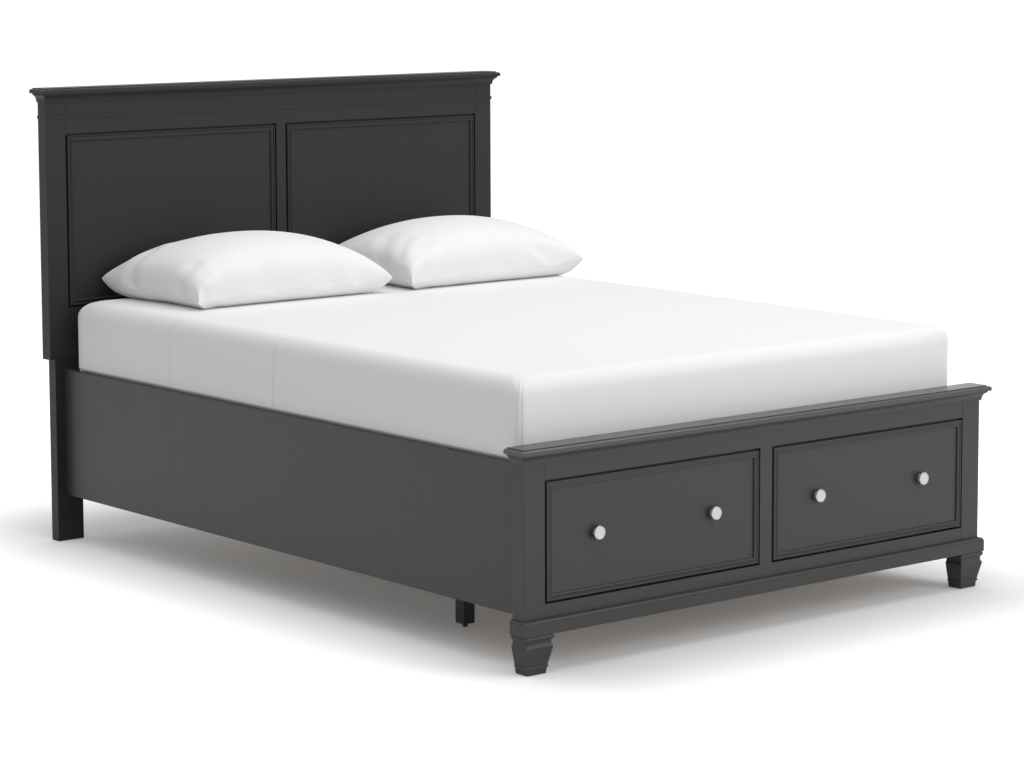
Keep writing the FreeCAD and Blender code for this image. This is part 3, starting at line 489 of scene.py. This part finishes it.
# the right edge and the foot-right corner are drawn out towards the full outline
pull = {
    "share": 0.55,               # of the way out
    "rise": 0.6,                 # it grows over this much of the edge's roundness
    "sideFade": 0.15,            # how far past the edge's roundness it dies out
    "endFade": 0.10,
    "cornerReach": 0.11,
}


def drawTight(obj, low, high, data):
    edge = data["edgeRound"]
    middle = (low.y + high.y) / 2
    for vertex in obj.data.vertices:
        x, y, z = vertex.co
        rise = clamped((z - high.z + edge) / (pull["rise"] * edge))
        if x < 0 or rise == 0:
            continue
        fromSide, fromEnd = high.x - x, (high.y - low.y) / 2 - abs(y - middle)
        shiftX, shiftY = [
            away if away < edge else edge * max(1 - (away - edge) / fade, 0.0)
            for away, fade in ((fromSide, pull["sideFade"]), (fromEnd, pull["endFade"]))]
        vertex.co.x += pull["share"] * shiftX * rise
        if y < 0:
            nearCorner = math.exp(-(fromSide / pull["cornerReach"]) ** 2)
            vertex.co.y -= pull["share"] * shiftY * rise * nearCorner


bedLow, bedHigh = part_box("mattress")
sheetLow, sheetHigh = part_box("fitted_sheet")

# fitted sheet: stretched over the mattress, with its corner seams and two side creases
fittedSheet = {
    "perSide": 120,                          # points along each straight side
    "sideSwell": 0.0075,
    "sideStart": 0.5183,
    "swellHeight": 0.010,
    "edgeRound": 0.047,
    "cornerRound": 0.0232,
    "cornerSoft": 0.6,
    "hem": 0.463,
    "seamWidth": 0.0016,
    "seamHeight": 0.0019,
    "seamGroove": 0.0026,
    "margin": 0.06,                          # waves and creases keep this far from the corners
    "waveStart": 0.52,                       # just above the rails
    "waves": ((5.1, 0.6, 0.5), (11.7, 2.0, 0.3)),    # pace, start and share of each
    "waveGrow": 0.06,                        # height over which they grow, and die out again
    "waveDie": 0.05,
    "sag": 0.0014,
    "creases": (0.022, 0.537),               # along the left side, from the middle of the sheet
    "creaseDepth": (0.0062, 0.0026),
    "creaseWidth": 0.0022,
    "creaseRidge": (0.6, 1.8),               # its height, and its place in widths
    "creaseLean": (0.009, 0.17),             # towards the foot, over this height
    "creaseCurl": 0.035,                     # its top end turns this far, over as much height
    "creaseFade": 0.012,                     # and dies out this far below the top
}


def creaseDepth(along, centreY, data):
    # narrow folds: each a dip with a low ridge on its foot side
    depth = 0.0
    ridge, ridgePlace = data["creaseRidge"]
    for place, most in zip(data["creases"], data["creaseDepth"]):
        away = (along - (centreY + place)) / data["creaseWidth"]
        depth += most * (math.exp(-away * away) - ridge * math.exp(-(away + ridgePlace) ** 2))
    return depth


def wrinkleSides(obj, low, high, data):
    centreY = (low.y + high.y) / 2
    lean, leanHeight = data["creaseLean"]
    curl = data["creaseCurl"]
    for vertex in obj.data.vertices:
        x, y, z = vertex.co
        if (abs(y - centreY) > (high.y - low.y) / 2 - data["margin"]
                or abs(x) < high.x - data["margin"]):
            continue
        above = z - data["waveStart"]
        if abs(x) > high.x - data["margin"] / 2 and above > 0:
            # slow, shallow waves down the stretched side
            rise = min(above / data["waveGrow"], 1.0) * clamped((high.z - z) / data["waveDie"])
            wave = sum(share * math.sin(y * pace + start) for pace, start, share in data["waves"])
            vertex.co.x -= math.copysign(data["sag"] * (0.5 + 0.5 * wave) * rise, x)
        if x < 0:
            # the fold leans a little and dies out where the cloth turns over the edge
            shift = lean * max(above / leanHeight, 0.0)
            shift += curl * max((z - high.z + curl) / curl, 0.0) ** 2
            fade = clamped((high.z - z) / data["creaseFade"])
            vertex.co.x += creaseDepth(y + shift, centreY, data) * fade


sheetPiece = wrappedForm("fittedSheet", sheetLow, sheetHigh, fittedSheet["hem"], fittedSheet, False)
wrinkleSides(sheetPiece, sheetLow, sheetHigh, fittedSheet)
drawTight(sheetPiece, sheetLow, sheetHigh, fittedSheet)
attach(sheetPiece, "bed")
print("fitted sheet:", len(sheetPiece.data.vertices), "points")

# mattress: a filled block with rounded edges, mostly under its sheet
mattress = {
    "perSide": 40,
    "inset": 0.0015,             # inside the fitted sheet
    "lift": 0.001,               # above the slats
    "sideSwell": 0.0075,
    "sideStart": 0.5183,         # above the rails
    "swellHeight": 0.010,
    "edgeRound": 0.046,
    "cornerRound": 0.0205,
    "cornerSoft": 0.6,           # how much rounder the corners get towards the top
    "seamWidth": 0.001,
    "seamHeight": 0.0,
    "seamGroove": 0.0,
    "creases": (),
}
inset = mattress["inset"]
mattressPiece = wrappedForm(
    "mattressBlock", Vector((bedLow.x + inset, bedLow.y + inset, bedLow.z)),
    Vector((bedHigh.x - inset, bedHigh.y - inset, bedHigh.z - inset)),
    bedLow.z + mattress["lift"], mattress, True)
drawTight(mattressPiece, bedLow, bedHigh, mattress)
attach(mattressPiece, "bed")
print("mattress block:", len(mattressPiece.data.vertices), "points")
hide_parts("fitted_sheet")
sheetPiece.data.materials.append(finishOf["sheetCotton"])
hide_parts("mattress")
mattressPiece.data.materials.append(finishOf["mattressTicking"])

# pillows: two filled cases, each with its own place and corner heights
pillows = {
    "cells": (72, 48),
    "crown": 2.1,                # how fast the top falls away from its middle
    "fullness": 0.40,            # how far the filling reaches into the edges
    "firmCorner": 0.38,          # how much fuller the front left corner is
    "flatness": 16.0,            # how far out the underside lies on the bed
    "underCurve": 0.5,           # how round it turns up into the seam
    "tipReach": 1.5,             # how near its corner a tip starts
    "tipSlope": 0.3,             # how much further in the underside lifts there
    "drawIn": (0.012, 0.009),    # how far the seams pull in between the corners
    "seamHeight": 0.040,
    "softRest": 0.0025,          # roundness where the underside meets the bed
    "frames": 16,
    "mostMove": 0.007,           # no point of the case moves further than this
    "foldSwell": (0.45, 1.9),    # height of the swell beside a fold, and its place in widths
    "mapGap": 0.1,               # between the top and the underside on the flat cloth
}
caseCloth = {
    "quality": 6, "mass": 0.25, "air_damping": 2.0,
    "tension_stiffness": 15, "compression_stiffness": 15, "shear_stiffness": 8,
    "bending_stiffness": 0.6,
    "shrink_min": -0.035,        # the case is cut this much larger than its filling
    "use_pressure": True, "uniform_pressure_force": 2.2,
}
leftPillow = {
    "node": "left_pillow",
    "frontLeft": (-0.634, 0.590), "frontRight": (0.060, 0.594),
    "backLeft": (-0.663, 1.070), "backRight": (0.030, 1.070),
    "tips": (0.018, 0.046, 0.056, 0.050),    # heights of those corners over the sheet
    # where a fold starts and ends on the case, then how wide and deep it is
    "folds": ((-1.0, 0.44, -0.74, 0.50, 0.023, 0.0095),
              (-1.0, -0.52, -0.88, -0.62, 0.024, 0.0060),
              (-0.80, -0.90, -0.90, -0.97, 0.014, -0.0035),
              (0.64, -1.0, 0.70, -0.86, 0.026, 0.0040),
              (0.34, -1.0, 0.30, -0.90, 0.040, 0.0035),
              (-0.30, -1.0, -0.36, -0.88, 0.045, 0.0030)),
}
rightPillow = {
    "node": "right_pillow",
    "frontLeft": (0.128, 0.584), "frontRight": (0.812, 0.588),
    "backLeft": (0.124, 1.070), "backRight": (0.806, 1.070),
    "tips": (0.020, 0.052, 0.060, 0.052),
    "folds": ((-0.99, -0.33, -0.82, -0.12, 0.030, 0.0045),
              (-0.90, -0.74, -0.72, -0.58, 0.018, -0.0040),
              (0.40, -0.97, 0.56, -1.0, 0.012, -0.0045),
              (0.52, -0.95, 0.66, -0.99, 0.030, 0.0045),
              (0.05, -1.0, -0.10, -0.92, 0.045, 0.0030)),
}


def pillowPoint(u, v, side, data, low, height):
    # u and v run from -1 to 1 over the case; side is 1 above the seam and -1 below it
    a, b = (u + 1) / 2, (v + 1) / 2
    weights = ((1 - a) * (1 - b), a * (1 - b), (1 - a) * b, a * b)
    corners = (data["frontLeft"], data["frontRight"], data["backLeft"], data["backRight"])
    drawX, drawY = pillows["drawIn"]
    x = sum(w * c[0] for w, c in zip(weights, corners)) - u * drawX * (1 - v * v)
    y = sum(w * c[1] for w, c in zip(weights, corners)) - v * drawY * (1 - u * u)
    cornered = (abs(u) * abs(v)) ** pillows["tipReach"]
    tipHeight = sum(w * t for w, t in zip(weights, data["tips"]))
    seam = pillows["seamHeight"] * (1 - cornered) + tipHeight * cornered
    if side == 1:
        crown = pillows["crown"]
        power = pillows["fullness"] * (1 - pillows["firmCorner"] * weights[0] ** 2)
        share = max((1 - abs(u) ** crown) * (1 - abs(v) ** crown), 0.0) ** power
        return Vector((x, y, low + (seam + (height - seam) * share)))
    # square under the edges, and a straight slope up to each tip
    tip = cornered * cornered
    bend = pillows["flatness"] * (1 - pillows["tipSlope"] * tip)
    share = max(1 - max(abs(u), abs(v)) ** bend, 0.0) ** (pillows["underCurve"] * (1 + tip))
    return Vector((x, y, low + seam * (1 - share)))


def sewnCase(name, data):
    # the top and the underside as two grids that share their seam
    columns, rows = pillows["cells"]
    low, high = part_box(data["node"])
    length = data["frontRight"][0] - data["frontLeft"][0]
    depth = data["backLeft"][1] - data["frontLeft"][1]
    mesh = bmesh.new()
    flat = mesh.loops.layers.uv.new("clothMap")
    layers = []
    for side in (1, -1):
        grid = []
        for j in range(rows + 1):
            v = math.sin(math.pi / 2 * (2 * j / rows - 1))
            line = []
            for i in range(columns + 1):
                if side == -1 and (i in (0, columns) or j in (0, rows)):
                    line.append(layers[0][j][i])
                    continue
                u = math.sin(math.pi / 2 * (2 * i / columns - 1))
                place = pillowPoint(u, v, side, data, low.z, high.z - low.z)
                line.append(mesh.verts.new(place))
            grid.append(line)
        layers.append(grid)
    for side, grid in zip((1, -1), layers):
        mapStart = 0 if side == 1 else length + pillows["mapGap"]
        for j in range(rows):
            for i in range(columns):
                cell = [(i, j), (i + 1, j), (i + 1, j + 1), (i, j + 1)][::side]
                sewFace(mesh, flat, [grid[b][a] for a, b in cell],
                        [(length * a / columns + mapStart, depth * b / rows) for a, b in cell])
    return meshObject(name, mesh)


def fillCase(obj):
    # a slightly large case round its filling: the spare cloth falls into soft folds
    before = [v.co.copy() for v in obj.data.vertices]
    onlySelect(obj)
    cloth = obj.modifiers.new("filling", "CLOTH")
    for name, value in caseCloth.items():
        setattr(cloth.settings, name, value)
    cloth.settings.effector_weights.gravity = 0
    cloth.collision_settings.use_collision = False
    cloth.point_cache.frame_start = 1
    cloth.point_cache.frame_end = pillows["frames"]
    for number in range(1, pillows["frames"] + 1):
        scene.frame_set(number)
    bpy.ops.object.modifier_apply(modifier=cloth.name)
    scene.frame_set(1)
    moves = [v.co - b for v, b in zip(obj.data.vertices, before)]
    print("  case moved", round(max(m.length for m in moves) * 1000, 1), "mm at most")
    for vertex, start, move in zip(obj.data.vertices, before, moves):
        vertex.co = start + move / (1 + move.length / pillows["mostMove"])


def pressFolds(obj, data):
    # soft dips along short lines on the upper side, with a low swell on each side of them
    columns, rows = pillows["cells"]
    low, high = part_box(data["node"])
    upper = (columns + 1) * (rows + 1)
    swell, swellPlace = pillows["foldSwell"]
    moves = []
    for vertex in obj.data.vertices[:upper]:
        push = 0.0
        for startU, startV, endU, endV, width, depth in data["folds"]:
            start = pillowPoint(startU, startV, 1, data, low.z, high.z - low.z)
            line = pillowPoint(endU, endV, 1, data, low.z, high.z - low.z) - start
            share = clamped((vertex.co - start).dot(line) / line.length_squared)
            away = (vertex.co - start - line * share).length / width
            push += depth * (math.exp(-away * away) - swell * math.exp(-(away - swellPlace) ** 2))
        moves.append(vertex.normal * push)
    for vertex, move in zip(obj.data.vertices, moves):
        vertex.co -= move


def settle(obj, data):
    # the underside lies on the sheet, and the crown keeps its height
    low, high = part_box(data["node"])
    soft = pillows["softRest"]
    for vertex in obj.data.vertices:
        over = vertex.co.z - low.z
        vertex.co.z = low.z + (over + math.sqrt(over * over + soft * soft)) / 2
    lowest = min(v.co.z for v in obj.data.vertices)
    scale = (high.z - low.z) / (max(v.co.z for v in obj.data.vertices) - lowest)
    for vertex in obj.data.vertices:
        vertex.co.z = low.z + (vertex.co.z - lowest) * scale


def makePillow(name, data):
    case = sewnCase(name, data)
    fillCase(case)
    pressFolds(case, data)
    settle(case, data)
    onlySelect(case)
    finer = case.modifiers.new("finer", "SUBSURF")
    finer.levels = 1
    finer.render_levels = 1
    bpy.ops.object.modifier_apply(modifier=finer.name)
    shadeSmooth(case)
    case.data.materials.append(finishOf["pillowCotton"])
    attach(case, "bed")
    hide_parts(data["node"])
    print(name, "points:", len(case.data.vertices))


makePillow("leftPillowCase", leftPillow)
makePillow("rightPillowCase", rightPillow)

# studio: pale floor with a painted glow and a painted shadow round the bed, soft lamps, white
# surroundings for the camera and for reflections
studio = {
    "floorSize": 400,
    "floorDrop": 0.0005,                     # just under the feet
    "floorTone": (0.80, 0.80, 0.80, 1),
    "paintedFloorGlow": (0.09, 0.66),               # painted glow: dim beside the bed as a painted shadow, white away from it
    "paintedShadowReach": (0.03, 0.78),               # how far from the bed the painted shadow turns into the glow
    # the rectangle round which the painted shadow lies
    "paintedShadowMiddle": (0.10, 0.0, 0.0),
    "paintedShadowHalf": (0.65, 1.15, 0.0),
    "ambient": 0.52,
    "white": (1, 1, 1, 1),
}
lamps = {
    "topSoftbox": {"place": (0.3, -0.4, 4.6), "target": (0, 0, 0.5), "size": 5.0, "power": 122.0},
    "keySoftbox": {"place": (2.6, -6.4, 3.4), "target": (0, -0.4, 0.45), "size": 3.6,
                   "power": 156.0},
}


def aimedLamp(name, place, target, size, power):
    deselectAll()
    direction = Vector(target) - Vector(place)
    bpy.ops.object.light_add(type="AREA", location=place,
                             rotation=direction.to_track_quat("-Z", "Y").to_euler())
    lamp = bpy.context.object
    lamp.name = name
    lamp.data.size = size
    lamp.data.energy = power


for name, lamp in lamps.items():
    aimedLamp(name, **lamp)


def seenRays(tree):
    # 1 for what the camera, a reflection or a clear surface looks at, and 0 for light on things
    path = addNode(tree, "ShaderNodeLightPath")
    seen = mathValue(tree, "ADD", (path, "Is Camera Ray"), (path, "Is Glossy Ray"))
    return mathValue(tree, "ADD", seen, (path, "Is Transmission Ray"), use_clamp=True)


world = bpy.data.worlds.new("studioSurround")
scene.world = world
world.use_nodes = True
tree = world.node_tree
tree.nodes.clear()
around = addNode(tree, "ShaderNodeBackground", {
    "Color": studio["white"], "Strength": studio["ambient"]})
backdrop = addNode(tree, "ShaderNodeBackground", {"Color": studio["white"], "Strength": 1.0})
pick = addNode(tree, "ShaderNodeMixShader", {0: seenRays(tree), 1: (around, 0), 2: (backdrop, 0)})
addNode(tree, "ShaderNodeOutputWorld", {"Surface": (pick, 0)})

deselectAll()
bpy.ops.mesh.primitive_plane_add(size=studio["floorSize"], location=(0, 0, -studio["floorDrop"]))
floor = bpy.context.object
floor.name = "studioFloor"
floorPaper = bpy.data.materials.new("studioFloorPaper")
floorPaper.use_nodes = True
tree = floorPaper.node_tree
tree.nodes.clear()
# painted glow for the camera and reflections: dim round the bed as a painted shadow on top of the
# lamps' own shadow, white away from it
place = (addNode(tree, "ShaderNodeTexCoord"), "Object")
outward = vectorValue(tree, "ABSOLUTE", vectorValue(tree, "SUBTRACT", place, studio["paintedShadowMiddle"]))
beyond = vectorValue(tree, "SUBTRACT", outward, studio["paintedShadowHalf"])
beyond = vectorValue(tree, "MAXIMUM", beyond, (0.0, 0.0, 0.0))
far = addNode(tree, "ShaderNodeVectorMath", {0: beyond}, operation="LENGTH")
# the painted shadow: the glow is low beside the bed and rises away from it
fade = addNode(tree, "ShaderNodeMapRange", {
    "Value": (far, "Value"),
    "From Min": studio["paintedShadowReach"][0], "From Max": studio["paintedShadowReach"][1],
    "To Min": studio["paintedFloorGlow"][0], "To Max": studio["paintedFloorGlow"][1],
}, interpolation_type="SMOOTHSTEP")
paintedGlow = addNode(tree, "ShaderNodeEmission", {
    "Color": studio["white"],
    "Strength": mathValue(tree, "MULTIPLY", seenRays(tree), (fade, "Result"))})
matt = addNode(tree, "ShaderNodeBsdfDiffuse", {"Color": studio["floorTone"]})
both = addNode(tree, "ShaderNodeAddShader", {0: (matt, 0), 1: (paintedGlow, 0)})
addNode(tree, "ShaderNodeOutputMaterial", {"Surface": (both, 0)})
floor.data.materials.append(floorPaper)

# camera at the photograph's place, with a shift small enough that other views keep the bed in frame
camera = {
    "place": (-5.4658, -6.8433, 1.8257),
    "turn": -40.513,
    "tilt": 6.5,
    "lens": 108.1078,
    "sensor": 36.0,
    "shift": (-0.0861, -0.1036),
    "clipEnd": 500,
}
deselectAll()
bpy.ops.object.camera_add(location=camera["place"],
                          rotation=(math.radians(90 - camera["tilt"]), 0,
                                    math.radians(camera["turn"])))
viewer = bpy.context.object
viewer.data.lens = camera["lens"]
viewer.data.sensor_width = camera["sensor"]
viewer.data.shift_x, viewer.data.shift_y = camera["shift"]
viewer.data.clip_end = camera["clipEnd"]
scene.camera = viewer
scene.view_settings.view_transform = "Standard"
print("studio ready")
